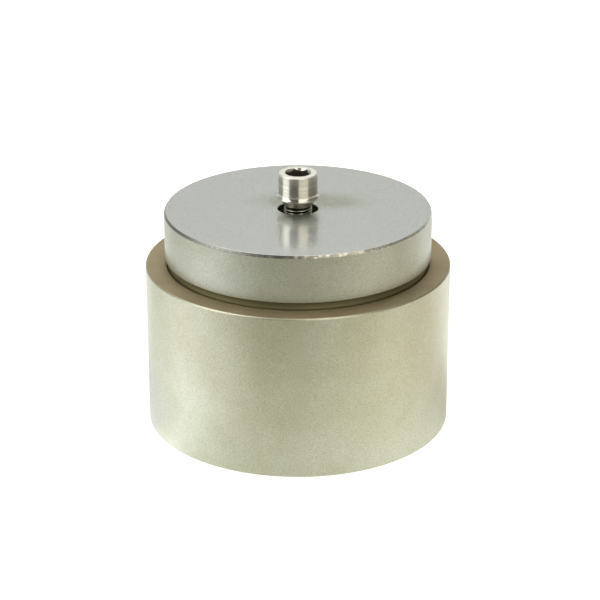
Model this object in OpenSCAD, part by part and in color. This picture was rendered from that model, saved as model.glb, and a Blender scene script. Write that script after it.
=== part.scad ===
// Candle mould: a thick-walled barrel with a loose bottom and a stepped plug,
// whose hollow wick screw grips the wick in a silicone gland. The plug's neck
// seats on a shoulder in the barrel, and its head stays clear of the rim.
// Millimetres. +Z is up, and the origin is the centre of the face it stands on.

/* [Barrel] */
// Outside diameter of the barrel
barrel_d = 110; // [80:1:160]
// Height of the barrel, from the table to its rim
barrel_h = 60; // [48:1:120]
// Thickness of the barrel's wall at the rim
barrel_wall = 7.8; // [5:0.1:12]
// Width of the shoulder that the plug's neck seats on
shoulder_w = 4; // [2:0.5:8]
// Chamfer on the barrel's outer edges
barrel_edge = 0.5; // [0.2:0.1:1.5]
// Lead-in chamfer at the mouth of the bore
bore_lead_in = 0.5; // [0.2:0.1:1.5]
// Thickness of the inward lip that carries the loose bottom
lip_h = 4.5; // [4:0.5:8]
// Width of the lip, from the cavity's wall inwards
lip_w = 12; // [6:0.5:15]

/* [Loose bottom] */
// Thickness of the loose bottom
bottom_t = 7; // [6.5:0.5:14]
// Radial clearance between the loose bottom and the cavity's wall
bottom_clear = 0.3; // [0.15:0.05:0.5]
// Depth of the recess under the loose bottom that the wick screw hangs in
bottom_recess_h = 3; // [2.5:0.1:3.5]
// Width of the clear ring around the washer in that recess
bottom_recess_gap = 4; // [1:0.5:6]

/* [Bottom wick screw] */
// Thread diameter of the screw that clamps the wick's lower end
clamp_thread_d = 6; // [4:0.5:8]
// Thread pitch of that screw
clamp_pitch = 1; // [0.7:0.05:1.25]
// Height of its cheese head
clamp_head_h = 2.4; // [2:0.1:2.8]
// How far its head reaches out past the thread
clamp_head_step = 2.6; // [2:0.1:4]
// Width of the screwdriver slot
clamp_slot_w = 1.6; // [1:0.1:2]
// Depth of the screwdriver slot
clamp_slot_h = 1.1; // [0.8:0.1:1.4]
// Thickness of the silicone washer
washer_t = 1.5; // [1:0.1:2]
// How far the washer reaches out past the screw's head
washer_step = 2.4; // [1:0.1:4]

/* [Plug] */
// Height of the plug's head
head_h = 17.2; // [12:0.1:30]
// Gap between the head's underside and the rim, where a lever goes in
head_gap = 2.8; // [2:0.1:6]
// How far the head overhangs the neck
head_overhang = 1; // [0.5:0.1:3]
// Radial clearance between the neck and the bore
neck_clear = 0.2; // [0.1:0.05:0.4]
// Length of the neck, from the head's underside to the face plate
neck_h = 12.8; // [12:0.1:20]
// Radial width of the chamfer around the top face
top_edge_w = 0.6; // [0.3:0.1:1.5]
// Height of the chamfer around the top face
top_edge_h = 0.9; // [0.3:0.1:2]

/* [Face plate] */
// Thickness of the plate that forms the candle's end
face_t = 3; // [2.8:0.1:6]
// Radial clearance between the plate and the cavity's wall
face_clear = 0.2; // [0.1:0.05:0.5]
// Diameter of the wick hole in the face plate
face_hole_d = 5; // [4:0.5:8]
// Number of countersunk screws that hold the face plate
face_screw_count = 4; // [3:1:6]
// Radius of the circle that the screws stand on, as a distance in from the neck
face_screw_inset = 17; // [12:0.5:20]
// Thread diameter of the screws
face_screw_d = 4; // [3:0.5:5]
// Length of the screws, head included
face_screw_l = 9; // [8:0.5:12]

/* [Seals] */
// Depth of the grooves for the ring seals
groove_depth = 1.9; // [1.5:0.1:2.5]
// Width of the grooves for the ring seals
groove_w = 2.9; // [2.6:0.1:3.6]
// Gap between a squeezed ring seal and the wall it wipes
seal_gap = 0.05; // [0.02:0.01:0.1]
// Solid metal left beside each groove
groove_land = 1.5; // [1.2:0.1:3]

/* [Wick gland] */
// Thread diameter of the hollow wick screw
thread_d = 10; // [8:0.5:14]
// Thread pitch of the wick screw
thread_pitch = 1; // [0.75:0.05:1.5]
// Depth of the thread's grooves
thread_depth = 0.55; // [0.4:0.05:0.8]
// Radial running clearance of both screws in their threads
thread_clear = 0.08; // [0.05:0.01:0.1]
// Wall of the threaded insert around the thread
insert_wall = 3; // [2.6:0.1:4]
// Radial clearance of the insert in the plug
insert_clear = 0.03; // [0.02:0.01:0.05]
// Radial width of the insert's flange
flange_w = 4; // [3.5:0.1:6]
// Thickness of the insert's flange
flange_t = 4; // [3:0.5:6]
// Thickness of the lip that the silicone seal stands on
gland_lip_t = 2; // [1.5:0.1:3]
// Height of the relaxed silicone seal
wick_seal_h = 8; // [6:0.5:10]
// Diameter of the hole in the silicone seal
wick_seal_hole_d = 3; // [2:0.5:4]
// How far the wick screw can squeeze the seal
seal_squeeze = 2.5; // [1:0.1:3]
// Height of the pressure pad
pad_t = 3; // [2.8:0.1:4]
// Diameter of the wire that clips the pad onto the screw's nose
clip_wire_d = 0.6; // [0.5:0.05:0.7]
// Diameter of the two pins that stop the insert from turning
insert_pin_d = 2; // [1.5:0.1:2.5]
// How far those pins reach up into the plug
insert_pin_reach = 3; // [2:0.5:5]

/* [Wick screw] */
// How far the screw's head is wider than its thread, on the radius
screw_head_step = 2; // [1.5:0.1:3]
// Height of the head's top face above the plug
screw_top_h = 13.4; // [10:0.1:18]
// Height of the plain part of the head
screw_head_h = 7.9; // [7:0.1:10]
// How far the collar under the head stands out
collar_w = 0.65; // [0.3:0.05:1]
// Height of the flare from the head out to the collar
collar_flare_h = 0.8; // [0.4:0.1:1.5]
// Height of the collar's plain edge
collar_h = 0.4; // [0.2:0.1:1]
// Radial clearance around the head in the plug's counterbore
head_hole_clear = 0.2; // [0.1:0.05:0.5]
// Depth of that counterbore
head_hole_h = 7; // [6:0.5:10]
// Chamfer at the mouth of the counterbore
head_hole_edge = 0.3; // [0.2:0.1:0.6]
// Hex socket, across its flats
hex_af = 8; // [6:0.5:9]
// Depth of the hex socket
hex_h = 6.5; // [5:0.5:7]
// Turn of the hex socket about its axis
hex_turn = 17; // [0:1:60]
// Diameter of the bore that the wick runs through
wick_bore_d = 4; // [3:0.5:4.5]

/* [Hidden] */
$fn = 128;
over = 1;                 // how far a cutting tool runs past the face it cuts
near = 0.02;              // gap that keeps two seated pieces from sharing material

// Barrel and loose bottom
barrel_r = barrel_d / 2;
bore_r = barrel_r - barrel_wall;
cavity_r = bore_r - shoulder_w;
lip_r = cavity_r - lip_w;
bottom_r = cavity_r - bottom_clear;
bottom_z = lip_h;
bottom_top_z = bottom_z + bottom_t;
bottom_edge = 0.5;

// Bottom wick screw and its washer, hanging in the loose bottom's recess
clamp_r = clamp_thread_d / 2;
clamp_head_r = clamp_r + clamp_head_step;
washer_r = clamp_head_r + washer_step;
recess_r = washer_r + bottom_recess_gap;
recess_top_z = bottom_z + bottom_recess_h;
washer_z = recess_top_z - washer_t;
clamp_head_top_z = washer_z - near;
clamp_head_z = clamp_head_top_z - clamp_head_h;
clamp_tip_inset = 0.5;
clamp_tip_z = bottom_top_z - clamp_tip_inset;
clamp_thread_depth = 0.6 * clamp_pitch;
clamp_neck_h = 0.2;
washer_clear = 0.15;

// Plug
neck_r = bore_r - neck_clear;
head_r = neck_r + head_overhang;
head_z = barrel_h + head_gap;
top_z = head_z + head_h;
neck_z = head_z - neck_h;
face_z = neck_z - face_t;
face_r = cavity_r - face_clear;
neck_edge = 0.4;
lower_groove_z = neck_z + groove_land;
upper_groove_z = lower_groove_z + groove_w + groove_land;

// Face plate screws: 90 degree countersunk heads, twice as wide as the thread
face_screw_circle_r = neck_r - face_screw_inset;
face_screw_r = face_screw_d / 2;
face_screw_head_r = face_screw_d;
face_screw_key = 0.625 * face_screw_d;
face_screw_key_h = 0.4 * face_screw_d;
face_screw_rim = 0.2;
face_screw_sink = 0.1;
face_screw_clear = 0.05;

// Wick gland, from the plug's top face down
thread_r = thread_d / 2;
screw_head_r = thread_r + screw_head_step;
head_hole_r = screw_head_r + head_hole_clear;
insert_r = thread_r + insert_wall;
insert_hole_r = insert_r + insert_clear;
flange_r = insert_r + flange_w;
insert_top_z = top_z - head_hole_h;
flange_mid_r = (insert_r + flange_r) / 2;
insert_groove_w = 1.9;
insert_groove_h = 1.2;
insert_pin_land = 0.8;
insert_pin_z = neck_z + insert_groove_h + insert_pin_land;
insert_pin_top_z = neck_z + flange_t + insert_pin_reach;
chamber_step = 0.5;
chamber_r = thread_r - chamber_step;
seal_z = neck_z + gland_lip_t;
seal_top_z = seal_z + wick_seal_h;
pad_z = seal_top_z + near;
pad_top_z = pad_z + pad_t;
thread_end_z = pad_top_z + near;
thread_end_gap = 0.2;
chamber_top_z = thread_end_z - seal_squeeze - thread_end_gap;
wick_clear = 0.1;
gland_lip_r = wick_bore_d / 2 + 2 * wick_clear;
wick_seal_r = chamber_r - wick_clear;

// Pressure pad: a cup that turns freely on the wick screw's nose
pad_r = chamber_r - 2 * wick_clear;
pad_wall = 1.1;
pad_floor_t = 0.4 * pad_t;
nose_r = pad_r - pad_wall;
nose_clear = 0.08;
clip_r = nose_r + nose_clear / 2;
clip_inset = 0.9;
clip_z = pad_top_z - clip_inset;
clip_groove_w = clip_wire_d + 2 * near;
clip_groove_depth = clip_wire_d / 2 + near - nose_clear / 2;

// Wick screw
screw_top_z = top_z + screw_top_h;
flare_z = screw_top_z - screw_head_h;
collar_r = screw_head_r + collar_w;
collar_top_z = flare_z - collar_flare_h;
collar_z = collar_top_z - collar_h;
shank_r = thread_r - thread_depth;
thread_runout = 0.1;
cone_z = collar_z - (collar_r - shank_r);
nose_z = pad_z + pad_floor_t + nose_clear;
screw_top_edge = 0.35;
hex_r = hex_af / 2 / cos(30);
hex_mouth_step = 0.12;
hex_mouth_r = hex_r + hex_mouth_step;
hex_mouth_h = hex_mouth_r - hex_af / 2;

// Ring of round section about the axis
module round_ring(mid_r, section_r, mid_z) {
    translate([0, 0, mid_z])
        rotate_extrude()
            translate([mid_r, 0])
                circle(r = section_r, $fn = 48);
}

// Ring seal that fills a groove between the groove's floor and the wall it wipes
module ring_seal(floor_r, wall_r, mid_z) {
    section_r = (wall_r - seal_gap - floor_r - near) / 2;
    round_ring(floor_r + near + section_r, section_r, mid_z);
}

// Solid of revolution from [radius, height] points
module turned(points) {
    rotate_extrude()
        polygon(points);
}

// Tube between two heights
module ring(outer_r, inner_r, low_z, high_z) {
    turned([[inner_r, low_z], [outer_r, low_z], [outer_r, high_z], [inner_r, high_z]]);
}

// Cylinder between two heights
module rod(r, low_z, high_z) {
    translate([0, 0, low_z])
        cylinder(r = r, h = high_z - low_z);
}

// [radius, height] points of ring-shaped thread grooves, from a low to a high end. The heights
// within a turn are shares of the pitch: a flank, a narrow crest, a flank and the groove's floor.
function thread_points(r, depth, pitch, low_z, high_z) =
    let (turns = floor((high_z - low_z) / pitch), start = high_z - turns * pitch)
    [for (i = [0 : turns - 1])
        for (p = [[r - depth, 0], [r - depth, 0.1], [r, 0.42], [r, 0.58], [r - depth, 0.9]])
            [p[0], start + (i + p[1]) * pitch]];

module barrel() {
    color("darkkhaki")
        turned([
            [lip_r, 0],
            [barrel_r - barrel_edge, 0],
            [barrel_r, barrel_edge],
            [barrel_r, barrel_h - barrel_edge],
            [barrel_r - barrel_edge, barrel_h],
            [bore_r + bore_lead_in, barrel_h],
            [bore_r, barrel_h - bore_lead_in],
            [bore_r, neck_z],
            [cavity_r, neck_z],
            [cavity_r, lip_h],
            [lip_r, lip_h]
        ]);
}

module loose_bottom() {
    groove_low = bottom_z + (bottom_t - groove_w) / 2;
    color("silver")
        difference() {
            turned([
                [0, bottom_z],
                [bottom_r - bottom_edge, bottom_z],
                [bottom_r, bottom_z + bottom_edge],
                [bottom_r, groove_low],
                [bottom_r - groove_depth, groove_low],
                [bottom_r - groove_depth, groove_low + groove_w],
                [bottom_r, groove_low + groove_w],
                [bottom_r, bottom_top_z - bottom_edge],
                [bottom_r - bottom_edge, bottom_top_z],
                [0, bottom_top_z]
            ]);
            rod(recess_r, bottom_z - over, recess_top_z);
            rod(clamp_r + thread_clear, bottom_z, bottom_top_z + over);
        }
}

module bottom_seal() {
    color("firebrick")
        ring_seal(bottom_r - groove_depth, cavity_r, bottom_z + bottom_t / 2);
}

module bottom_wick_washer() {
    color("firebrick")
        ring(washer_r, clamp_r + washer_clear, washer_z, recess_top_z - near);
}

module bottom_wick_screw() {
    head_edge = 0.3;
    slot_l = 2 * (clamp_head_r + over);
    thread_low_z = clamp_head_top_z + clamp_neck_h;
    color("gold")
        difference() {
            turned(concat(
                [
                    [0, clamp_head_z],
                    [clamp_head_r - head_edge, clamp_head_z],
                    [clamp_head_r, clamp_head_z + head_edge],
                    [clamp_head_r, clamp_head_top_z],
                    [clamp_r - clamp_thread_depth, clamp_head_top_z]
                ],
                thread_points(clamp_r, clamp_thread_depth, clamp_pitch, thread_low_z, clamp_tip_z),
                [[clamp_r - clamp_thread_depth, clamp_tip_z], [0, clamp_tip_z]]
            ));
            translate([-slot_l / 2, -clamp_slot_w / 2, clamp_head_z - over])
                cube([slot_l, clamp_slot_w, clamp_slot_h + over]);
        }
}

module plug_body() {
    edge_h = head_hole_edge + over;
    color("darkseagreen")
        difference() {
            turned([
                [0, neck_z],
                [neck_r - neck_edge, neck_z],
                [neck_r, neck_z + neck_edge],
                [neck_r, lower_groove_z],
                [neck_r - groove_depth, lower_groove_z],
                [neck_r - groove_depth, lower_groove_z + groove_w],
                [neck_r, lower_groove_z + groove_w],
                [neck_r, upper_groove_z],
                [neck_r - groove_depth, upper_groove_z],
                [neck_r - groove_depth, upper_groove_z + groove_w],
                [neck_r, upper_groove_z + groove_w],
                [neck_r, head_z],
                [head_r, head_z],
                [head_r, top_z - top_edge_h],
                [head_r - top_edge_w, top_z],
                [0, top_z]
            ]);
            rod(head_hole_r, insert_top_z - over, top_z + over);
            translate([0, 0, top_z - head_hole_edge])
                cylinder(r1 = head_hole_r, r2 = head_hole_r + edge_h, h = edge_h);
            rod(insert_hole_r, neck_z - over, insert_top_z + near);
            rod(flange_r + insert_clear, neck_z - over, neck_z + flange_t + near);
            face_screw_places()
                rod(face_screw_r + face_screw_clear, neck_z - over, face_z + face_screw_l + over);
            insert_pin_places()
                rod(insert_pin_d / 2 + near, neck_z, insert_pin_top_z + near);
        }
}

module plug_upper_seal() {
    color("firebrick")
        ring_seal(neck_r - groove_depth, bore_r, upper_groove_z + groove_w / 2);
}

module plug_lower_seal() {
    color("firebrick")
        ring_seal(neck_r - groove_depth, bore_r, lower_groove_z + groove_w / 2);
}

// Places what follows once for each face plate screw
module face_screw_places() {
    for (i = [0 : face_screw_count - 1])
        rotate([0, 0, (i + 0.5) * 360 / face_screw_count])
            translate([face_screw_circle_r, 0, 0])
                children();
}

// Countersunk outline of a face plate screw or of its hole, grown by a clearance
module countersunk(clear, tip_z) {
    head_r = face_screw_head_r + clear;
    stem_r = face_screw_r + clear;
    low_z = face_z + face_screw_sink;
    rim_z = low_z + face_screw_rim;
    turned([
        [0, low_z],
        [head_r, low_z],
        [head_r, rim_z],
        [stem_r, rim_z + head_r - stem_r],
        [stem_r, tip_z],
        [0, tip_z]
    ]);
}

module plug_face() {
    edge = 0.5;
    color("gainsboro")
        difference() {
            turned([
                [face_hole_d / 2, face_z],
                [face_r - edge, face_z],
                [face_r, face_z + edge],
                [face_r, neck_z - near],
                [face_hole_d / 2, neck_z - near]
            ]);
            face_screw_places() {
                countersunk(face_screw_clear, neck_z + over);
                rod(face_screw_head_r + face_screw_clear, face_z - over, face_z + 2 * face_screw_sink);
            }
        }
}

module face_screws() {
    key_h = over + face_screw_sink + face_screw_key_h;
    color("lightgray")
        face_screw_places()
            difference() {
                countersunk(0, face_z + face_screw_l);
                translate([0, 0, face_z - over])
                    cylinder(r = face_screw_key / 2 / cos(30), h = key_h, $fn = 6);
            }
}

module gland_insert() {
    edge = 0.4;
    thread_hole_r = thread_r + thread_clear;
    color("goldenrod")
        difference() {
            turned([
                [0, neck_z],
                [flange_r, neck_z],
                [flange_r, neck_z + flange_t],
                [insert_r, neck_z + flange_t],
                [insert_r, insert_top_z - edge],
                [insert_r - edge, insert_top_z],
                [0, insert_top_z]
            ]);
            rod(thread_hole_r, chamber_top_z, insert_top_z + over);
            translate([0, 0, insert_top_z - edge])
                cylinder(r1 = thread_hole_r, r2 = thread_hole_r + edge + over, h = edge + over);
            rod(chamber_r, seal_z, chamber_top_z + near);
            rod(gland_lip_r, neck_z - over, seal_z + near);
            ring(
                flange_mid_r + insert_groove_w / 2,
                flange_mid_r - insert_groove_w / 2,
                neck_z - over,
                neck_z + insert_groove_h
            );
            insert_pin_places()
                rod(insert_pin_d / 2 + near, insert_pin_z - near, neck_z + flange_t + over);
        }
}

module insert_seal() {
    section_r = (insert_groove_h - 2 * near) / 2;
    color("firebrick")
        round_ring(flange_mid_r, section_r, neck_z + near + section_r);
}

// Places what follows once for each of the insert's two pins
module insert_pin_places() {
    for (side = [-1, 1])
        translate([side * flange_mid_r, 0, 0])
            children();
}

module insert_pins() {
    color("lightgray")
        insert_pin_places()
            rod(insert_pin_d / 2, insert_pin_z, insert_pin_top_z);
}

module wick_seal() {
    edge = 0.4;
    color("firebrick")
        turned([
            [wick_seal_hole_d / 2, seal_z + near],
            [wick_seal_r - edge, seal_z + near],
            [wick_seal_r, seal_z + edge],
            [wick_seal_r, seal_top_z - edge],
            [wick_seal_r - edge, seal_top_z],
            [wick_seal_hole_d / 2, seal_top_z]
        ]);
}

module pressure_pad() {
    edge = 0.3;
    color("gold")
        turned([
            [wick_bore_d / 2 + wick_clear, pad_z],
            [pad_r - edge, pad_z],
            [pad_r, pad_z + edge],
            [pad_r, pad_top_z],
            [nose_r + nose_clear, pad_top_z],
            [nose_r + nose_clear, clip_z + clip_groove_w / 2],
            [nose_r + nose_clear + clip_groove_depth, clip_z + clip_groove_w / 2],
            [nose_r + nose_clear + clip_groove_depth, clip_z - clip_groove_w / 2],
            [nose_r + nose_clear, clip_z - clip_groove_w / 2],
            [nose_r + nose_clear, pad_z + pad_floor_t],
            [wick_bore_d / 2 + wick_clear, pad_z + pad_floor_t]
        ]);
}

module pad_clip() {
    color("lightgray")
        round_ring(clip_r, clip_wire_d / 2, clip_z);
}

module wick_screw() {
    color("silver")
        difference() {
            turned(concat(
                [
                    [0, nose_z],
                    [nose_r, nose_z],
                    [nose_r, clip_z - clip_groove_w / 2],
                    [nose_r - clip_groove_depth, clip_z - clip_groove_w / 2],
                    [nose_r - clip_groove_depth, clip_z + clip_groove_w / 2],
                    [nose_r, clip_z + clip_groove_w / 2],
                    [nose_r, thread_end_z],
                    [shank_r, thread_end_z]
                ],
                thread_points(thread_r, thread_depth, thread_pitch, thread_end_z, cone_z - thread_runout),
                [
                    [shank_r, cone_z],
                    [collar_r, collar_z],
                    [collar_r, collar_top_z],
                    [screw_head_r, flare_z],
                    [screw_head_r, screw_top_z - screw_top_edge],
                    [screw_head_r - screw_top_edge, screw_top_z],
                    [0, screw_top_z]
                ]
            ));
            rod(wick_bore_d / 2, nose_z - over, screw_top_z);
            rotate([0, 0, hex_turn + 30])
                translate([0, 0, screw_top_z - hex_h])
                    cylinder(r = hex_r, h = hex_h + over, $fn = 6);
            translate([0, 0, screw_top_z - hex_mouth_h])
                cylinder(r1 = hex_af / 2, r2 = hex_mouth_r + over, h = hex_mouth_h + over);
        }
}

barrel();
loose_bottom();
bottom_seal();
bottom_wick_washer();
bottom_wick_screw();
plug_body();
plug_upper_seal();
plug_lower_seal();
plug_face();
face_screws();
gland_insert();
insert_seal();
insert_pins();
wick_seal();
pressure_pad();
pad_clip();
wick_screw();
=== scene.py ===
import math

import bmesh
import bpy
from mathutils import Matrix, Vector


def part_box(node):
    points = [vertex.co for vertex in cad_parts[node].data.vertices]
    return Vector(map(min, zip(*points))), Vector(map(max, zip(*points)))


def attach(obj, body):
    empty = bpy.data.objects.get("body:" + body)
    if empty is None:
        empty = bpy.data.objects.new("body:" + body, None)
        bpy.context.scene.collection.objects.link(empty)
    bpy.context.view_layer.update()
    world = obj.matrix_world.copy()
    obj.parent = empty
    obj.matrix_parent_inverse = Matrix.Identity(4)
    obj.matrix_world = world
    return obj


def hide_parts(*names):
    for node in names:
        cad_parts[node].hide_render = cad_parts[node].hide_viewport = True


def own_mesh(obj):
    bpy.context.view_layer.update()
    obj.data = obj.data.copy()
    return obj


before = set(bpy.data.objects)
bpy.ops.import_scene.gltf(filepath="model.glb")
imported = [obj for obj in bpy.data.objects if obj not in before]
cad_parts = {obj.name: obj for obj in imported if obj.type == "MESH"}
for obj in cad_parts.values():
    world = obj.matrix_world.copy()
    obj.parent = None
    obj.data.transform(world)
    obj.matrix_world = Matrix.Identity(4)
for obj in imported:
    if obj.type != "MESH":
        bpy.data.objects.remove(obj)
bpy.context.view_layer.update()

# ------------------------------------------------------------------------------------------
# Camera. A long lens stands 0.78 m from the mould and a little above it, as on a tripod at
# a table, so the barrel's sides run nearly parallel and the plug's top face shows.
camera_place = Vector((0, -0.7254, 0.3436))
camera_aim = Vector((0.00071, 0, 0.0443))
camera_data = bpy.data.cameras.new("camera")
camera_data.lens = 129.3
camera_data.sensor_width = 36
camera = bpy.data.objects.new("camera", camera_data)
camera.location = camera_place
camera.rotation_euler = (camera_aim - camera_place).to_track_quat("-Z", "Y").to_euler()
bpy.context.scene.collection.objects.link(camera)
bpy.context.scene.camera = camera
bpy.context.scene.view_settings.view_transform = "Standard"


# ------------------------------------------------------------------------------------------
# Studio. The mould stands on a white table inside a light tent, which gives the light: its roof
# and its left wall are the brightest, and its opening, towards the camera, is dim. A second
# sheet, which only reflections see, lights the metal from below.


def linear(hex_colour):
    """The linear RGBA of an sRGB colour written as RRGGBB."""
    shares = [int(hex_colour[i : i + 2], 16) / 255 for i in (0, 2, 4)]
    return [s / 12.92 if s <= 0.04045 else ((s + 0.055) / 1.055) ** 2.4 for s in shares] + [1.0]


def add(tree, kind, inputs=None, **settings):
    """A new node: its settings, and for each of its inputs a value or the socket that feeds it."""
    node = tree.nodes.new(kind)
    for setting, value in settings.items():
        setattr(node, setting, value)
    for socket, value in (inputs or {}).items():
        if isinstance(value, bpy.types.NodeSocket):
            tree.links.new(value, node.inputs[socket])
        else:
            node.inputs[socket].default_value = value
    return node


def ramp(tree, factor, stops):
    """A colour ramp on a factor, from (position, RRGGBB) stops."""
    node = add(tree, "ShaderNodeValToRGB", {"Fac": factor})
    elements = node.color_ramp.elements
    for element, (position, colour) in ((elements[0], stops[0]), (elements[-1], stops[-1])):
        element.position = position
        element.color = linear(colour)
    for position, colour in stops[1:-1]:
        elements.new(position).color = linear(colour)
    return node


def compass_light(tree, direction, stops):
    """A colour by the compass direction of a vector from the mould: its stops run from behind the
    mould, round by its left, to the camera's side in the middle, and on by its right."""
    parts = add(tree, "ShaderNodeSeparateXYZ", {0: direction})
    front = add(tree, "ShaderNodeMath", {0: parts.outputs["Y"], 1: -1.0}, operation="MULTIPLY")
    compass = add(tree, "ShaderNodeMath", {0: parts.outputs["X"], 1: front.outputs[0]}, operation="ARCTAN2")
    turn = add(
        tree,
        "ShaderNodeMapRange",
        {"Value": compass.outputs[0], "From Min": -math.pi, "From Max": math.pi},
    )
    return ramp(tree, turn.outputs["Result"], stops).outputs["Color"]


# the tent's walls: a white panel on the left, a dark opening towards the camera, a warm panel
# beside it, and grey cloth behind the mould; a grey skirt closes them below
wall_stops = [
    (0.00, "989994"),
    (0.08, "7B7B76"),
    (0.215, "74746E"),
    (0.235, "FFFFFA"),
    (0.34, "FFFFFA"),
    (0.36, "403F3B"),
    (0.505, "363530"),
    (0.52, "D6D0C2"),
    (0.66, "D2CCBE"),
    (0.68, "57554C"),
    (0.84, "54524A"),
    (0.94, "7B7C76"),
    (1.00, "989994"),
]

world = bpy.data.worlds.new("light_tent")
world.use_nodes = True
bpy.context.scene.world = world
tree = world.node_tree
direction = add(tree, "ShaderNodeTexCoord").outputs["Generated"]
parts = add(tree, "ShaderNodeSeparateXYZ", {0: direction})
lean = add(
    tree, "ShaderNodeMath", {0: parts.outputs["Y"], 1: 0.5, 2: parts.outputs["Z"]}, operation="MULTIPLY_ADD"
)
roof = add(tree, "ShaderNodeMapRange", {"Value": lean.outputs[0], "From Min": 0.84, "From Max": 1.04})
skirt = add(
    tree,
    "ShaderNodeMapRange",
    {"Value": parts.outputs["Z"], "From Min": 0.12, "From Max": 0.26, "To Min": 0.4},
)
walls = add(
    tree,
    "ShaderNodeMix",
    {0: skirt.outputs["Result"], 6: linear("929289"), 7: compass_light(tree, direction, wall_stops)},
    data_type="RGBA",
)
canopy = add(
    tree,
    "ShaderNodeMix",
    {0: roof.outputs["Result"], 6: walls.outputs[2], 7: linear("FFFFFF")},
    data_type="RGBA",
)
canopy_strength = add(
    tree, "ShaderNodeMapRange", {"Value": roof.outputs["Result"], "To Min": 2.1, "To Max": 1.5}
)
background = tree.nodes["Background"]
tree.links.new(canopy.outputs[2], background.inputs["Color"])
tree.links.new(canopy_strength.outputs["Result"], background.inputs["Strength"])


def sheet_of(name, reach, height):
    """A flat square sheet of the studio, lying at a height."""
    mesh = bpy.data.meshes.new(name)
    ways = ((-1, -1), (1, -1), (1, 1), (-1, 1))
    mesh.from_pydata([(x * reach, y * reach, height) for x, y in ways], [], [(0, 1, 2, 3)])
    sheet = bpy.data.objects.new(name, mesh)
    bpy.context.scene.collection.objects.link(sheet)
    return sheet


# white table top, so brightly lit that only the seam under the mould stays darker than white
table_reach = 6
table = sheet_of("table", table_reach, 0)
table.visible_glossy = False
paint = bpy.data.materials.new("white_table")
paint.use_nodes = True
shader = paint.node_tree.nodes["Principled BSDF"]
shader.inputs["Base Color"].default_value = linear("F5F5F5")
shader.inputs["Roughness"].default_value = 0.9
shader.inputs["Specular IOR Level"].default_value = 0.0
shader.inputs["Emission Color"].default_value = linear("FFFFFF")
shader.inputs["Emission Strength"].default_value = 0.72
table.data.materials.append(paint)

# what the metal mirrors of that table, on a sheet of its own: its tones by direction are tuned
# for the view from the front, so other sides look less even
table_stops = [
    (0.000, "FFFFFF"),
    (0.125, "FFFFFF"),
    (0.165, "E6E8E6"),
    (0.210, "EEF0EE"),
    (0.270, "FFFFFF"),
    (0.320, "F4F5F4"),
    (0.375, "D8D8D2"),
    (0.430, "BEBDB1"),
    (0.500, "BAB9AD"),
    (0.570, "C8C6BA"),
    (0.625, "DAD8CC"),
    (0.695, "E6E2D6"),
    (0.755, "DAD5CA"),
    (0.792, "EAE6DD"),
    (0.850, "FFFFFF"),
    (1.000, "FFFFFF"),
]
# close to the mould, those tones are dimmed and cooled by these
shade_stops = [
    (0.000, "F0F4FA"),
    (0.130, "F0F4FA"),
    (0.190, "CCD0D6"),
    (0.280, "D2D6DE"),
    (0.335, "F6FAFF"),
    (0.620, "EEF2F8"),
    (0.700, "D8DCE2"),
    (0.800, "C2C4C4"),
    (0.850, "F0F4FA"),
    (1.000, "F0F4FA"),
]
glow_drop = 0.0005
glow = sheet_of("table_glow", table_reach, -glow_drop)
glow.visible_camera = False
glow.visible_diffuse = False
glow.visible_shadow = False
paint = bpy.data.materials.new("table_glow")
paint.use_nodes = True
tree = paint.node_tree
tree.nodes.remove(tree.nodes["Principled BSDF"])
place = add(tree, "ShaderNodeTexCoord").outputs["Object"]
reach = add(tree, "ShaderNodeVectorMath", {0: place}, operation="LENGTH")
near = add(
    tree,
    "ShaderNodeMapRange",
    {"Value": reach.outputs["Value"], "From Min": 0.055, "From Max": 0.226, "To Min": 1.95, "To Max": 1.08},
)
deeper = add(
    tree,
    "ShaderNodeMapRange",
    {"Value": reach.outputs["Value"], "From Min": 0.10, "From Max": 0.22, "To Min": 1.0, "To Max": 1.3},
)
far_light = add(
    tree,
    "ShaderNodeGamma",
    {"Color": compass_light(tree, place, table_stops), "Gamma": deeper.outputs["Result"]},
)
close = add(
    tree,
    "ShaderNodeMapRange",
    {"Value": reach.outputs["Value"], "From Min": 0.065, "From Max": 0.15, "To Min": 1.0, "To Max": 0.0},
)
table_light = add(
    tree,
    "ShaderNodeMix",
    {0: close.outputs["Result"], 6: far_light.outputs["Color"], 7: compass_light(tree, place, shade_stops)},
    data_type="RGBA",
    blend_type="MULTIPLY",
)
emission = add(
    tree,
    "ShaderNodeEmission",
    {"Color": table_light.outputs[2], "Strength": near.outputs["Result"]},
)
tree.links.new(emission.outputs[0], tree.nodes["Material Output"].inputs["Surface"])
glow.data.materials.append(paint)

# ------------------------------------------------------------------------------------------
# Barrel. A thick tube turned from one billet of aluminium, with a shoulder inside for the
# plug, a cavity, and a lip at the bottom. Its outside is bead-blasted and anodised to a
# champagne colour after turning; the bore and the cavity are bored smooth and left bare.

mm = 0.001
sharp_angle = math.radians(32)


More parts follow.
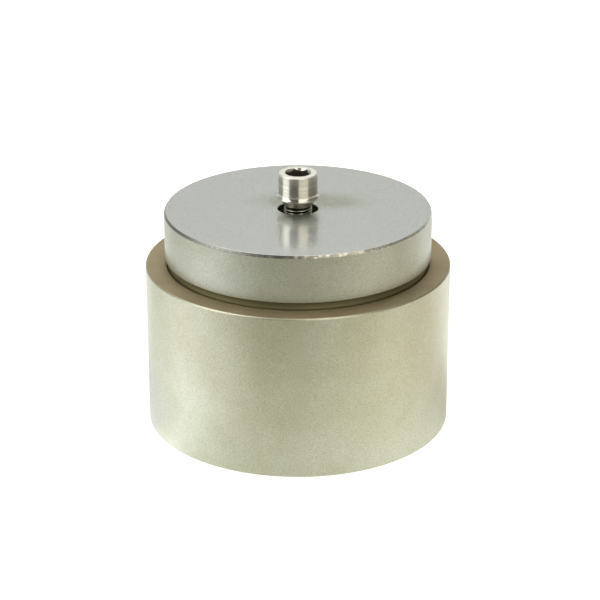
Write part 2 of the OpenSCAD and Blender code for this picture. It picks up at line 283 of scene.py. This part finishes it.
def turned(name, rings, slots, around=288):
    """A closed turned piece. Each ring is a (radius, height), or a function of the angle that
    gives them, and slots holds the material number of the wall from each ring to the next."""
    mesh = bpy.data.meshes.new(name)
    angles = [2 * math.pi * i / around for i in range(around)]
    points = []
    for ring in rings:
        for angle in angles:
            radius, height = ring(angle) if callable(ring) else ring
            points.append((radius * math.cos(angle), radius * math.sin(angle), height))
    faces, numbers = [], []
    for j in range(len(rings)):
        k = (j + 1) % len(rings)
        for i in range(around):
            n = (i + 1) % around
            faces.append((j * around + i, j * around + n, k * around + n, k * around + i))
            numbers.append(slots[j])
    mesh.from_pydata(points, [], faces)
    mesh.polygons.foreach_set("material_index", numbers)
    work = bmesh.new()
    work.from_mesh(mesh)
    bmesh.ops.remove_doubles(work, verts=work.verts, dist=1e-7)
    bmesh.ops.recalc_face_normals(work, faces=work.faces)
    work.to_mesh(mesh)
    work.free()
    mesh.shade_smooth()
    mesh.set_sharp_from_angle(angle=sharp_angle)
    piece = bpy.data.objects.new(name, mesh)
    bpy.context.scene.collection.objects.link(piece)
    return piece


def outline(corners, steps=4):
    """Rings and slots along a closed outline of (radius, height, rounding, slot) corners. Each
    rounding starts that far from its corner, and a guard ring just before and after it keeps
    the flats beside it flatly shaded."""
    guard = 1.25
    rings, slots = [], []
    for i, (radius, height, rounding, slot) in enumerate(corners):
        here = Vector((radius, height))
        if not rounding:
            rings.append((radius, height))
            slots.append(slot)
            continue
        back = (Vector(corners[i - 1][:2]) - here).normalized()
        ahead = (Vector(corners[(i + 1) % len(corners)][:2]) - here).normalized()
        half = back.angle(ahead) / 2
        middle = here + (back + ahead).normalized() * (rounding / math.cos(half))
        arc_r = rounding * math.tan(half)
        rings.append(tuple(here + back * rounding * guard))
        slots.append(corners[i - 1][3])
        for step in range(steps + 1):
            share = step / steps
            spoke = (here + back * (1 - share) * rounding + ahead * share * rounding - middle).normalized()
            rings.append(tuple(middle + spoke * arc_r))
            slots.append(slot)
        rings.append(tuple(here + ahead * rounding * guard))
        slots.append(slot)
    return rings, slots


def metal(name, colour, roughness):
    """A bare metal's material, its node tree and its shader."""
    material = bpy.data.materials.new(name)
    material.use_nodes = True
    shader = material.node_tree.nodes["Principled BSDF"]
    shader.inputs["Base Color"].default_value = linear(colour)
    shader.inputs["Metallic"].default_value = 1.0
    shader.inputs["Roughness"].default_value = roughness
    return material, material.node_tree, shader


def bead_blasted(name, low, middle, high):
    """Bead-blasted, anodised aluminium. The beads leave dents about 0.2 mm across, drawn at 0.5 mm
    so that they show, which break each reflection into a soft, finely speckled sheen. The dye is
    a little uneven from place to place."""
    material, tree, shader = metal(name, middle, 0.36)
    dent = 0.5 * mm
    place = add(tree, "ShaderNodeTexCoord").outputs["Object"]
    grit = add(
        tree, "ShaderNodeTexNoise", {"Vector": place, "Scale": 1 / dent, "Detail": 2.0, "Roughness": 0.6}
    )
    patch = add(tree, "ShaderNodeTexNoise", {"Vector": place, "Scale": 1 / (18 * mm), "Detail": 3.0})
    speckle = ramp(tree, grit.outputs["Fac"], [(0.30, low), (0.50, middle), (0.72, high)])
    uneven = ramp(tree, patch.outputs["Fac"], [(0.35, "F4F3EC"), (0.65, "FFFFFF")])
    tint = add(
        tree,
        "ShaderNodeMix",
        {0: 1.0, 6: speckle.outputs["Color"], 7: uneven.outputs["Color"]},
        data_type="RGBA",
        blend_type="MULTIPLY",
    )
    tree.links.new(tint.outputs[2], shader.inputs["Base Color"])
    pits = add(
        tree, "ShaderNodeBump", {"Height": grit.outputs["Fac"], "Strength": 0.25, "Distance": 0.02 * mm}
    )
    tree.links.new(pits.outputs["Normal"], shader.inputs["Normal"])
    return material


blasted = bead_blasted("bead_blasted_champagne_aluminium", "C0C0AC", "CFCFBC", "DCDCCC")


def from_axis(tree, parts):
    """Distance of a place from the mould's axis, from its separate X, Y and Z."""
    flat = add(tree, "ShaderNodeCombineXYZ", {0: parts.outputs[0], 1: parts.outputs[1]})
    return add(tree, "ShaderNodeVectorMath", {0: flat.outputs[0]}, operation="LENGTH").outputs["Value"]


def lathe_marks(tree, pitch, wander):
    """Height of the fine rings that a lathe tool leaves round the axis, at a pitch, and of the
    broader rings where it wandered."""
    place = add(tree, "ShaderNodeTexCoord").outputs["Object"]
    parts = add(tree, "ShaderNodeSeparateXYZ", {0: place})
    feed = add(tree, "ShaderNodeMath", {0: from_axis(tree, parts), 1: parts.outputs[2]}, operation="ADD")
    fine = add(
        tree,
        "ShaderNodeTexNoise",
        {"W": feed.outputs[0], "Scale": 1 / pitch, "Detail": 1.0},
        noise_dimensions="1D",
    )
    broad = add(
        tree,
        "ShaderNodeTexNoise",
        {"W": feed.outputs[0], "Scale": 1 / wander, "Detail": 2.0},
        noise_dimensions="1D",
    )
    return place, fine.outputs["Fac"], broad.outputs["Fac"]


# Bare turned aluminium: the tool's rings are 0.1 mm apart, drawn at 0.35 mm so that they
# show, and smear reflections a little away from the axis. Handling dulls it in patches.
turned_bare, tree, shader = metal("turned_bare_aluminium", "D9DAD6", 0.2)
place, fine, broad = lathe_marks(tree, 0.35 * mm, 2.5 * mm)
cuts = add(tree, "ShaderNodeBump", {"Height": fine, "Strength": 0.35, "Distance": 0.004 * mm})
tree.links.new(cuts.outputs["Normal"], shader.inputs["Normal"])
handled = add(tree, "ShaderNodeTexNoise", {"Vector": place, "Scale": 1 / (9 * mm), "Detail": 4.0})
dull = add(
    tree,
    "ShaderNodeMapRange",
    {"Value": handled.outputs["Fac"], "From Min": 0.35, "From Max": 0.7, "To Min": 0.16, "To Max": 0.3},
)
tree.links.new(dull.outputs["Result"], shader.inputs["Roughness"])
shade = ramp(tree, broad, [(0.3, "D0D1CC"), (0.7, "DEDFDC")])
tree.links.new(shade.outputs["Color"], shader.inputs["Base Color"])

# The rim was faced after the blasting and before the anodising: matter than the outside, and a browner,
# darker champagne, which is painted shade cast by the plug's head. Its tool rings are drawn at 0.4 mm.
faced, tree, shader = metal("faced_champagne_aluminium_painted_shade", "AFA286", 0.7)
place, fine, _ = lathe_marks(tree, 0.4 * mm, 1.5 * mm)
cuts = add(tree, "ShaderNodeBump", {"Height": fine, "Strength": 0.25, "Distance": 0.004 * mm})
tree.links.new(cuts.outputs["Normal"], shader.inputs["Normal"])
patch = add(tree, "ShaderNodeTexNoise", {"Vector": place, "Scale": 1 / (12 * mm), "Detail": 3.0})
tone = ramp(tree, patch.outputs["Fac"], [(0.3, "A79A7F"), (0.7, "B6A98D")])
tree.links.new(tone.outputs["Color"], shader.inputs["Base Color"])

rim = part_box("barrel")[1].z
barrel_r = 55 * mm
edge = 0.5 * mm
bore_r = 47.2 * mm
cavity_r = 43.2 * mm
lip_r = 31.2 * mm
lip_top = 4.5 * mm
shoulder = 50 * mm
soft = 0.12 * mm
outside, inside, top = 0, 1, 2
barrel = turned(
    "barrel_shell",
    *outline(
        [
            (lip_r, 0, soft, outside),
            (barrel_r - edge, 0, soft, outside),
            (barrel_r, edge, soft, outside),
            (barrel_r, rim - edge, soft, outside),
            (barrel_r - edge, rim, soft, top),
            (bore_r + edge, rim, soft, top),
            (bore_r, rim - edge, soft, inside),
            (bore_r, shoulder, soft, inside),
            (cavity_r, shoulder, soft, inside),
            (cavity_r, lip_top, soft, inside),
            (lip_r, lip_top, soft, outside),
        ]
    ),
)
for material in (blasted, turned_bare, faced):
    barrel.data.materials.append(material)
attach(barrel, "barrel")
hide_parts("barrel")

# ------------------------------------------------------------------------------------------
# Loose bottom. A bare turned aluminium disc that lies on the barrel's lip, with a ring seal of
# red silicone round it. A brass screw clamps the wick's lower end under a silicone washer.


def finish_node(name, material):
    """Gives a CAD node its finish."""
    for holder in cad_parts[name].material_slots:
        holder.material = material


# Moulded silicone, red as heat-proof seals are: it is matt, and the mould's cavity leaves a
# fine orange-peel skin, about 0.3 mm from bump to bump, with a little dust on it.
silicone = bpy.data.materials.new("moulded_red_silicone")
silicone.use_nodes = True
tree = silicone.node_tree
shader = tree.nodes["Principled BSDF"]
shader.inputs["IOR"].default_value = 1.41
place = add(tree, "ShaderNodeTexCoord").outputs["Object"]
skin = add(tree, "ShaderNodeTexNoise", {"Vector": place, "Scale": 1 / (0.3 * mm), "Detail": 2.0})
dust = add(tree, "ShaderNodeTexNoise", {"Vector": place, "Scale": 1 / (2 * mm), "Detail": 4.0})
tone = ramp(tree, dust.outputs["Fac"], [(0.35, "93261B"), (0.62, "A23227"), (0.80, "B05A4C")])
tree.links.new(tone.outputs["Color"], shader.inputs["Base Color"])
matt = add(tree, "ShaderNodeMapRange", {"Value": dust.outputs["Fac"], "To Min": 0.38, "To Max": 0.62})
tree.links.new(matt.outputs["Result"], shader.inputs["Roughness"])
peel = add(tree, "ShaderNodeBump", {"Height": skin.outputs["Fac"], "Strength": 0.3, "Distance": 0.02 * mm})
tree.links.new(peel.outputs["Normal"], shader.inputs["Normal"])

# Turned brass: yellow and bright, with the tool's rings drawn at 0.3 mm, and browner where
# wax and handling have tarnished it.
brass, tree, shader = metal("turned_brass", "DDB86A", 0.22)
place, fine, _ = lathe_marks(tree, 0.3 * mm, 2 * mm)
cuts = add(tree, "ShaderNodeBump", {"Height": fine, "Strength": 0.3, "Distance": 0.004 * mm})
tree.links.new(cuts.outputs["Normal"], shader.inputs["Normal"])
tarnish = add(tree, "ShaderNodeTexNoise", {"Vector": place, "Scale": 1 / (4 * mm), "Detail": 4.0})
tone = ramp(tree, tarnish.outputs["Fac"], [(0.35, "B98F4A"), (0.55, "DDB86A"), (0.75, "E3C27C")])
tree.links.new(tone.outputs["Color"], shader.inputs["Base Color"])
dull = add(tree, "ShaderNodeMapRange", {"Value": tarnish.outputs["Fac"], "To Min": 0.34, "To Max": 0.16})
tree.links.new(dull.outputs["Result"], shader.inputs["Roughness"])

finish_node("loose_bottom", turned_bare)
finish_node("bottom_seal", silicone)
finish_node("bottom_wick_washer", silicone)


def thread_radius(root, depth, pitch, height, angle, share=1.0):
    """Radius of a right-hand screw thread at a height and an angle: a flat floor, two flanks and
    a narrow crest in each turn. The share fades it out."""
    ridge_half, flank = 0.4, 0.32  # shares of the pitch
    turn = (height / pitch - angle / (2 * math.pi)) % 1
    rise = min(max((ridge_half - abs(turn - 0.5)) / flank, 0), 1)
    return root + depth * rise * share


def thread_rings(root, depth, pitch, low, high, fade):
    """Rings of that thread from a low to a high end, fading over the last part of both."""
    rings_per_turn = 10
    count = round((high - low) / pitch * rings_per_turn)
    rings = []
    for i in range(count + 1):
        height = low + (high - low) * i / count
        share = min(1, (height - low) / fade, (high - height) / fade)
        rings.append(
            lambda angle, height=height, share=share: (
                thread_radius(root, depth, pitch, height, angle, share),
                height,
            )
        )
    return rings


# the bottom wick screw: a cheese head with a slot, and an M6 thread of 1 mm pitch
clamp_head_low, clamp_head_top = 3.58 * mm, 5.98 * mm
clamp_head_r = 5.6 * mm
clamp_root = 2.4 * mm
clamp_tip = 11 * mm
clamp_depth = 0.6 * mm
clamp_neck = 0.2 * mm
clamp_fade = 0.4 * mm
pitch = 1 * mm
under, under_slots = outline(
    [
        (clamp_root, clamp_head_top, 0, 0),
        (clamp_head_r, clamp_head_top, 0.1 * mm, 0),
        (clamp_head_r, clamp_head_low, 0.3 * mm, 0),
        (0.0, clamp_head_low, 0, 0),
    ]
)
thread = thread_rings(clamp_root, clamp_depth, pitch, clamp_head_top + clamp_neck, clamp_tip, clamp_fade)
rings = [(0.0, clamp_tip)] + thread[::-1] + under
clamp = turned("bottom_wick_screw_turned", rings, [0] * (len(thread) + 1) + under_slots, around=96)


def cut(piece, tools):
    """Cuts tool pieces out of a piece, and removes the tools."""
    for tool in tools:
        modifier = piece.modifiers.new("cut", "BOOLEAN")
        modifier.object = tool
        modifier.operation = "DIFFERENCE"
        modifier.solver = "EXACT"
    mesh = bpy.data.meshes.new_from_object(piece.evaluated_get(bpy.context.evaluated_depsgraph_get()))
    piece.modifiers.clear()
    piece.data = mesh
    mesh.shade_smooth()
    mesh.set_sharp_from_angle(angle=sharp_angle)
    for tool in tools:
        bpy.data.objects.remove(tool)


def block(low, high):
    """A plain block to cut with, between two corners."""
    mesh = bpy.data.meshes.new("block")
    points = [(x, y, z) for x in (low[0], high[0]) for y in (low[1], high[1]) for z in (low[2], high[2])]
    faces = [(0, 1, 3, 2), (4, 6, 7, 5), (0, 4, 5, 1), (2, 3, 7, 6), (0, 2, 6, 4), (1, 5, 7, 3)]
    mesh.from_pydata(points, [], faces)
    tool = bpy.data.objects.new("block", mesh)
    bpy.context.scene.collection.objects.link(tool)
    return tool


slot_half, slot_top = 0.8 * mm, clamp_head_low + 1.1 * mm
slot_reach = clamp_head_r * 1.2
cut(clamp, [block((-slot_reach, -slot_half, clamp_head_low - mm), (slot_reach, slot_half, slot_top))])
clamp.data.materials.append(brass)
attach(clamp, "bottom_screw")
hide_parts("bottom_wick_screw")

# ------------------------------------------------------------------------------------------
# Plug. A turned aluminium stopper: an overhanging head, and a neck with two ring seals that
# seats on the barrel's shoulder. It is blasted and anodised like the barrel, and its top is
# then faced bright; four countersunk screws hold the bare face plate under it.

# The plug's side: blasted like the barrel, in a greyer and darker tone.
blasted_plug = bead_blasted("bead_blasted_grey_champagne_aluminium", "B3B5A8", "C2C4B7", "D0D2C6")

# Faced and lapped aluminium: half a mirror and half satin, because the lapping leaves smooth
# land between fine scratches, about 0.12 mm apart. A brownish bloom of wax and fingers lies
# behind the hole, a little to its right.
lapped, tree, shader = metal("lapped_aluminium", "C9CBC8", 0.2)
place = add(tree, "ShaderNodeTexCoord").outputs["Object"]
lapping = add(tree, "ShaderNodeTexNoise", {"Vector": place, "Scale": 1 / (0.12 * mm), "Detail": 1.0})
satin = add(
    tree,
    "ShaderNodeMapRange",
    {"Value": lapping.outputs["Fac"], "From Min": 0.46, "From Max": 0.56, "To Min": 0.14, "To Max": 0.42},
)
tree.links.new(satin.outputs["Result"], shader.inputs["Roughness"])
wiped = add(
    tree,
    "ShaderNodeVectorMath",
    {0: place, 1: (1.0, 2.2, 0.0), 2: (-4 * mm, -16 * mm, 0.0)},
    operation="MULTIPLY_ADD",
)
from_bloom = add(tree, "ShaderNodeVectorMath", {0: wiped.outputs[0]}, operation="LENGTH")
smear = add(tree, "ShaderNodeTexNoise", {"Vector": place, "Scale": 1 / (14 * mm), "Detail": 3.0})
round_hole = add(
    tree,
    "ShaderNodeMapRange",
    {
        "Value": from_bloom.outputs["Value"],
        "From Min": 10 * mm,
        "From Max": 28 * mm,
        "To Min": 1.0,
        "To Max": 0.0,
    },
)
bloom = add(
    tree, "ShaderNodeMath", {0: smear.outputs["Fac"], 1: round_hole.outputs["Result"]}, operation="MULTIPLY"
)
bloomed = ramp(tree, bloom.outputs[0], [(0.0, "C9CCC9"), (0.22, "C3C5BF"), (0.5, "ADAFA3")])
tree.links.new(bloomed.outputs["Color"], shader.inputs["Base Color"])

# The turned edge round the top: bare metal with a painted reflection, dark grey on the left and painted
# bright towards the right, with nicks every millimetre or two.
edge_metal, tree, shader = metal("aluminium_edge_painted_reflection", "8C8C86", 0.35)
place = add(tree, "ShaderNodeTexCoord").outputs["Object"]
nicks = add(tree, "ShaderNodeTexNoise", {"Vector": place, "Scale": 1 / (1.5 * mm), "Detail": 3.0})
# painted highlight: brighter towards +X, broken up by the nicks
right_highlight_and_nicks = add(
    tree,
    "ShaderNodeMath",
    {0: add(tree, "ShaderNodeSeparateXYZ", {0: place}).outputs["X"], 1: 7.0, 2: nicks.outputs["Fac"]},
    operation="MULTIPLY_ADD",
)
tone = ramp(tree, right_highlight_and_nicks.outputs[0], [(0.35, "8A8A84"), (0.55, "B0B0A8"), (0.75, "F4F3EA")])
tree.links.new(tone.outputs["Color"], shader.inputs["Base Color"])
dents = add(tree, "ShaderNodeBump", {"Height": nicks.outputs["Fac"], "Strength": 0.35, "Distance": 0.05 * mm})
tree.links.new(dents.outputs["Normal"], shader.inputs["Normal"])

# The neck was turned and anodised without blasting. Its dark tone is painted shade from the overhanging head,
# darkest in the corner under the head.
neck_shade, tree, shader = metal("champagne_aluminium_neck_painted_shade", "84856C", 0.32)
place, fine, broad = lathe_marks(tree, 0.35 * mm, 1.5 * mm)
cuts = add(tree, "ShaderNodeBump", {"Height": fine, "Strength": 0.3, "Distance": 0.004 * mm})
tree.links.new(cuts.outputs["Normal"], shader.inputs["Normal"])
parts = add(tree, "ShaderNodeSeparateXYZ", {0: place})
# painted shade: darker towards the underside of the head, added to a random broad tone
corner = add(
    tree, "ShaderNodeMapRange", {"Value": parts.outputs["Z"], "From Min": 60 * mm, "From Max": 62.8 * mm}
)
tone_mask = add(tree, "ShaderNodeMath", {0: broad, 1: 0.3, 2: corner.outputs["Result"]}, operation="MULTIPLY_ADD")
tone = ramp(tree, tone_mask.outputs[0], [(0.1, "B2B297"), (0.6, "989980"), (1.0, "70715A")])
tree.links.new(tone.outputs["Color"], shader.inputs["Base Color"])

plug_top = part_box("plug_body")[1].z
neck_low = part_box("plug_body")[0].z
head_low = 62.8 * mm
neck_r = 47 * mm
plug_r = 48 * mm
neck_chamfer = 0.4 * mm
edge_high, edge_wide = 0.9 * mm, 0.6 * mm
hole_chamfer = 0.3 * mm
groove_floor = 45.1 * mm
lower_groove = (51.5 * mm, 54.4 * mm)
upper_groove = (55.9 * mm, 58.8 * mm)
hole_r = 7.2 * mm
ledge = 73.02 * mm
insert_hole_r = 8.03 * mm
flange_hole_r = 12.03 * mm
flange_top = 54.02 * mm
blast, bare, lap, top_edge, shaded_neck = 0, 1, 2, 3, 4
plug = turned(
    "plug_shell",
    *outline(
        [
            (flange_hole_r, neck_low, 0, bare),
            (neck_r - neck_chamfer, neck_low, soft, shaded_neck),
            (neck_r, neck_low + neck_chamfer, soft, shaded_neck),
            (neck_r, lower_groove[0], soft, shaded_neck),
            (groove_floor, lower_groove[0], 0, shaded_neck),
            (groove_floor, lower_groove[1], 0, shaded_neck),
            (neck_r, lower_groove[1], soft, shaded_neck),
            (neck_r, upper_groove[0], soft, shaded_neck),
            (groove_floor, upper_groove[0], 0, shaded_neck),
            (groove_floor, upper_groove[1], 0, shaded_neck),
            (neck_r, upper_groove[1], soft, shaded_neck),
            (neck_r, head_low, 0, shaded_neck),
            (plug_r, head_low, 0.25 * mm, blast),
            (plug_r, plug_top - edge_high, soft, top_edge),
            (plug_r - edge_wide, plug_top, 0.1 * mm, lap),
            (hole_r + hole_chamfer, plug_top, 0.08 * mm, bare),
            (hole_r, plug_top - hole_chamfer, soft, bare),
            (hole_r, ledge, 0, bare),
            (insert_hole_r, ledge, 0, bare),
            (insert_hole_r, flange_top, 0, bare),
            (flange_hole_r, flange_top, 0, bare),
        ]
    ),
)


def drill(radius, low, high, places):
    """Rods to cut holes with, standing between two heights at (x, y) places."""
    rods = []
    for x, y in places:
        rod = turned("drill", [(0, low), (radius, low), (radius, high), (0, high)], [0] * 4, around=32)
        rod.data.transform(Matrix.Translation((x, y, 0)))
        rods.append(rod)
    return rods


tap_r, tap_top = 2.05 * mm, 57 * mm
pin_hole_r, pin_hole_top, pin_x = 1.02 * mm, 57.02 * mm, 10 * mm
screw_circle_r = 30 * mm
screw_places = [
    (screw_circle_r * math.cos(math.radians(a)), screw_circle_r * math.sin(math.radians(a)))
    for a in (45, 135, 225, 315)
]
for material in (blasted_plug, turned_bare, lapped, edge_metal, neck_shade):
    plug.data.materials.append(material)
cut(
    plug,
    drill(tap_r, neck_low - mm, tap_top, screw_places)
    + drill(pin_hole_r, neck_low + 2 * mm, pin_hole_top, [(-pin_x, 0), (pin_x, 0)]),
)
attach(plug, "plug")
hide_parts("plug_body")

finish_node("plug_upper_seal", silicone)
finish_node("plug_lower_seal", silicone)
finish_node("plug_face", turned_bare)

# Bright turned stainless steel: nearly a mirror across, and smeared up and down, because the
# tool's rings run round the piece. A little haze breaks it here and there.
stainless, tree, shader = metal("bright_turned_stainless_steel", "E4E1D8", 0.2)
shader.inputs["Anisotropic"].default_value = 0.7
shader.inputs["Anisotropic Rotation"].default_value = 0.25
round_axis = add(tree, "ShaderNodeTangent", direction_type="RADIAL", axis="Z")
tree.links.new(round_axis.outputs["Tangent"], shader.inputs["Tangent"])
place, fine, broad = lathe_marks(tree, 0.25 * mm, 1.2 * mm)
cuts = add(tree, "ShaderNodeBump", {"Height": fine, "Strength": 0.2, "Distance": 0.003 * mm})
tree.links.new(cuts.outputs["Normal"], shader.inputs["Normal"])
haze = add(tree, "ShaderNodeTexNoise", {"Vector": place, "Scale": 1 / (3 * mm), "Detail": 3.0})
dull = add(tree, "ShaderNodeMapRange", {"Value": haze.outputs["Fac"], "To Min": 0.12, "To Max": 0.26})
tree.links.new(dull.outputs["Result"], shader.inputs["Roughness"])
shade = ramp(tree, broad, [(0.3, "DCD9CF"), (0.7, "E8E6DE")])
tree.links.new(shade.outputs["Color"], shader.inputs["Base Color"])

finish_node("face_screws", stainless)

# ------------------------------------------------------------------------------------------
# Wick gland. A brass insert in the plug, with a ring seal and two steel pins, holds a red
# silicone seal round the wick. A brass pad presses on it, clipped to the screw's nose by a wire.

# Tarnished brass: the insert stays in the plug and is never polished, so wax and heat have
# turned it dark brown, with a dull sheen.
tarnished, tree, shader = metal("tarnished_brass", "4A3E26", 0.45)
place = add(tree, "ShaderNodeTexCoord").outputs["Object"]
tone_mask = add(tree, "ShaderNodeTexNoise", {"Vector": place, "Scale": 1 / (2.5 * mm), "Detail": 4.0})
tone = ramp(tree, tone_mask.outputs["Fac"], [(0.35, "332A1A"), (0.55, "4A3E26"), (0.75, "6B5933")])
tree.links.new(tone.outputs["Color"], shader.inputs["Base Color"])
dull = add(tree, "ShaderNodeMapRange", {"Value": tone_mask.outputs["Fac"], "To Min": 0.6, "To Max": 0.3})
tree.links.new(dull.outputs["Result"], shader.inputs["Roughness"])

finish_node("gland_insert", tarnished)
finish_node("insert_seal", silicone)
finish_node("insert_pins", stainless)
finish_node("pressure_pad", brass)
finish_node("pad_clip", stainless)

seal_low, seal_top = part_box("wick_seal")[0].z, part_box("wick_seal")[1].z
seal_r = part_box("wick_seal")[1].x
wick_hole_r = 1.5 * mm
wick_seal = turned(
    "wick_seal_moulded",
    *outline(
        [
            (wick_hole_r, seal_low, 0.1 * mm, 0),
            (seal_r, seal_low, 0.4 * mm, 0),
            (seal_r, seal_top, 0.4 * mm, 0),
            (wick_hole_r, seal_top, 0.1 * mm, 0),
        ]
    ),
    around=96,
)
wick_seal.data.materials.append(silicone)
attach(wick_seal, "plug")
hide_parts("wick_seal")
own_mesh(wick_seal)

# ------------------------------------------------------------------------------------------
# Wick screw. A hollow stainless screw, turned from bar: an M10 thread of 1 mm pitch, a cone, a
# thin collar with a flare above it, and a round head with a broached 8 mm hex socket.

screw_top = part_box("wick_screw")[1].z
nose_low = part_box("wick_screw")[0].z
bore = 2 * mm
nose_r = 3.2 * mm
clip_low, clip_high = 61.8 * mm, 62.44 * mm
clip_floor = 2.92 * mm
root = 4.45 * mm
thread_depth = 0.55 * mm
thread_low, thread_high = 63.04 * mm, 81.0 * mm
cone_low = 81.1 * mm
collar_low, collar_high, collar_r = 84.3 * mm, 84.7 * mm, 7.65 * mm
flare_top = 85.5 * mm
top_chamfer = 0.35 * mm
bore_chamfer = 0.3 * mm
head_r = 7 * mm
flat_r = 4 * mm
steel, cut_thread, broached, ring_top = 0, 1, 2, 3
hex_corner = math.radians(47)
socket_floor = 86.9 * mm
mouth_r = 4.739 * mm


def hex_ring(height, slope=0.0):
    """A ring on the socket's six walls, at a height that falls where the mouth's cone cuts them."""

    def ring(angle):
        side = (angle - hex_corner) % (math.pi / 3) - math.pi / 6
        radius = flat_r / math.cos(side)
        return radius, height - slope * (mouth_r - radius)

    return ring


nose, nose_slots = outline(
    [
        (bore, nose_low, 0.1 * mm, steel),
        (nose_r, nose_low, 0.1 * mm, steel),
        (nose_r, clip_low, 0, steel),
        (clip_floor, clip_low, 0, steel),
        (clip_floor, clip_high, 0, steel),
        (nose_r, clip_high, 0, steel),
        (nose_r, thread_low, 0, cut_thread),
    ]
)
thread_fade = 0.5 * mm
thread = thread_rings(root, thread_depth, pitch, thread_low, thread_high, thread_fade)
head, head_slots = outline(
    [
        (root, cone_low, 0.05 * mm, ring_top),
        (collar_r, collar_low, soft, steel),
        (collar_r, collar_high, soft, steel),
        (head_r, flare_top, 0.6 * mm, steel),
        (head_r, screw_top - top_chamfer, soft, ring_top),
        (head_r - top_chamfer, screw_top, soft, ring_top),
        (mouth_r, screw_top, 0, steel),
    ]
)
socket = [
    hex_ring(screw_top, slope=1.0),
    hex_ring(socket_floor),
    (bore + bore_chamfer, socket_floor),
    (bore, socket_floor - bore_chamfer),
]
rings = nose + thread + head + socket
slots = nose_slots + [cut_thread] * len(thread) + head_slots + [broached, broached, broached, steel]

# The thread is cut, so its flanks are rougher than the head; its roots are painted nearly black as shade,
# fading to bright bare steel on the crests.
shaded_thread, tree, shader = metal("cut_stainless_thread", "A8A69C", 0.25)
place = add(tree, "ShaderNodeTexCoord").outputs["Object"]
parts = add(tree, "ShaderNodeSeparateXYZ", {0: place})
depth = add(
    tree,
    "ShaderNodeMapRange",
    {"Value": from_axis(tree, parts), "From Min": root, "From Max": root + thread_depth},
)
# painted shade: nearly black in the thread's roots, bare steel on the crests
tone = ramp(tree, depth.outputs["Result"], [(0.1, "1E1C16"), (0.7, "8A877C"), (1.0, "E4E1D8")])
tree.links.new(tone.outputs["Color"], shader.inputs["Base Color"])

# The socket was broached and never polished, so it is dull; its dark tone is painted shade inside the socket.
shaded_socket, tree, shader = metal("broached_stainless_socket", "8A8878", 0.45)
place = add(tree, "ShaderNodeTexCoord").outputs["Object"]
shade_mottle = add(tree, "ShaderNodeTexNoise", {"Vector": place, "Scale": 1 / (1.2 * mm), "Detail": 3.0})
tone = ramp(tree, shade_mottle.outputs["Fac"], [(0.35, "7A7868"), (0.65, "9A9888")])
tree.links.new(tone.outputs["Color"], shader.inputs["Base Color"])

# The head's top was faced with a fresh tool: pale, and satin rather than bright.
faced_steel, tree, shader = metal("faced_stainless_top", "ECEBDE", 0.4)
_, fine, broad = lathe_marks(tree, 0.25 * mm, 1.2 * mm)
cuts = add(tree, "ShaderNodeBump", {"Height": fine, "Strength": 0.2, "Distance": 0.003 * mm})
tree.links.new(cuts.outputs["Normal"], shader.inputs["Normal"])
shade = ramp(tree, broad, [(0.3, "E2E1D4"), (0.7, "F2F1E6")])
tree.links.new(shade.outputs["Color"], shader.inputs["Base Color"])

wick_screw = turned("wick_screw_turned", rings, slots, around=144)
for material in (stainless, shaded_thread, shaded_socket, faced_steel):
    wick_screw.data.materials.append(material)
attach(wick_screw, "gland_screw")
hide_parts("wick_screw")
